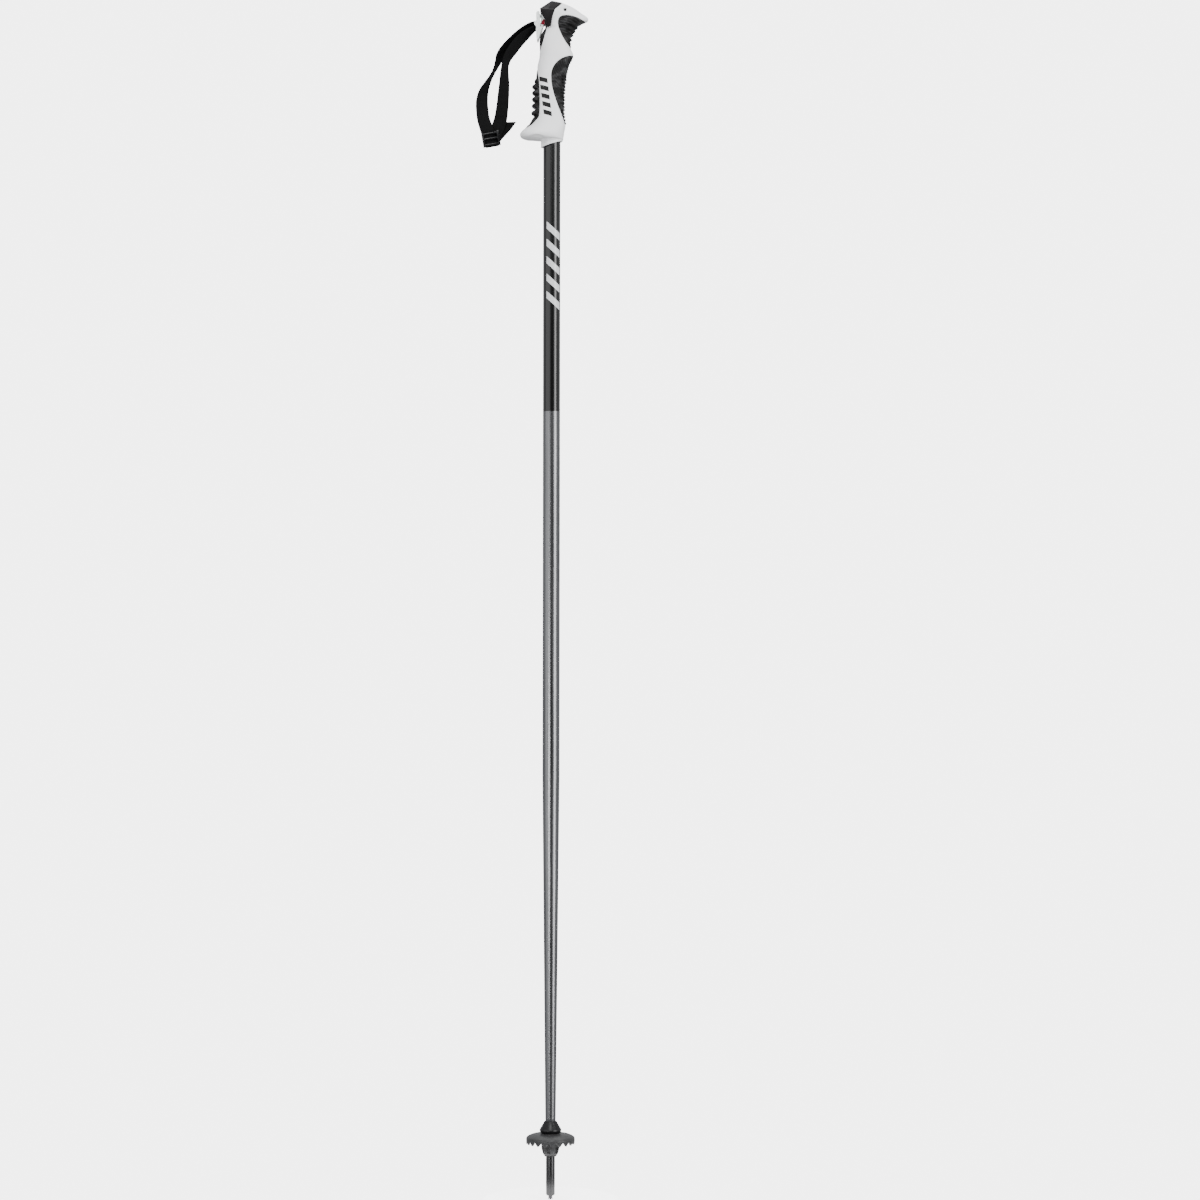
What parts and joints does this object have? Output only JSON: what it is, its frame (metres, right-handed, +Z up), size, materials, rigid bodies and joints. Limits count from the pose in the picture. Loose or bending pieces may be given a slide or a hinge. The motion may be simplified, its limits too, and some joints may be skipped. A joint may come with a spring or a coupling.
{
  "type": "ski pole",
  "caption": "Alpine ski pole: tapered one-piece aluminium shaft, moulded grip with release cap, webbing wrist strap, snow basket and steel tip.",
  "frame": {"origin": "lowest point of the steel tip, on the shaft's axis", "axes": "+Z up the shaft towards the grip, +X towards the side the grip's beak points to, +Y away from a viewer who sees the beak on the right"},
  "size_m": [0.1174, 0.051, 1.2495],
  "materials": {
    "shaft": "satin anodised, with a gloss black upper third",
    "grip_white": "satin moulded plastic",
    "grip_rubber": "matt, fine grooves",
    "head_black": "satin moulded plastic",
    "steel": "turned and plated",
    "link_white": "slightly translucent",
    "keeper_red": "gloss",
    "webbing": "woven polyester",
    "buckle_black": "gloss acetal",
    "sleeve_black": "satin moulded plastic",
    "basket_grey": "matt moulded plastic",
    "plug_grey": "matt nylon"
  },
  "bodies": {
    "pole": {"shaft": "shaft", "shaft_plug": "plug_grey", "grip_shell": "grip_white", "index_pad": "grip_rubber", "finger_pad": "grip_rubber", "palm_pad": "grip_rubber", "neck_strip": "grip_rubber", "cap_pin": "steel", "cap_spring": "steel", "hook_pin": "steel", "strap_link": "link_white", "link_keeper": "keeper_red", "link_pin": "steel", "stop_sleeve": "sleeve_black", "tip_plug": "plug_grey", "tip_insert": "steel"},
    "cap": {"head_cap": "head_black"},
    "strap": {"strap_loop": "webbing", "strap_rear": "webbing", "strap_front": "webbing", "strap_turn": "webbing", "buckle": "buckle_black"},
    "tail": {"strap_tail": "webbing"},
    "snow_basket": {"basket": "basket_grey"}
  },
  "joints": [
    {"name": "cap_tilt", "type": "hinge", "parent": "pole", "child": "cap", "pos_m": [0.0138, 0, 1.2389], "axis": [0, 1, 0], "range_deg": [0, 18], "stiffness_Nm_per_rad": 0.05, "springref_deg": -22.92},
    {"name": "strap_swing", "type": "hinge", "parent": "pole", "child": "strap", "pos_m": [-0.0151, 0, 1.2253], "axis": [0, 1, 0], "range_deg": [0, 60]},
    {"name": "tail_lift", "type": "hinge", "parent": "strap", "child": "tail", "pos_m": [-0.061, 0.0066, 1.1064], "axis": [-0.8043, 0, 0.5942], "range_deg": [0, 60], "stiffness_Nm_per_rad": 0.002, "springref_deg": -17.19},
    {"name": "basket_turn", "type": "hinge", "parent": "pole", "child": "snow_basket", "pos_m": [0, 0, 0.055], "axis": [0, 0, 1], "continuous": true}
  ]
}
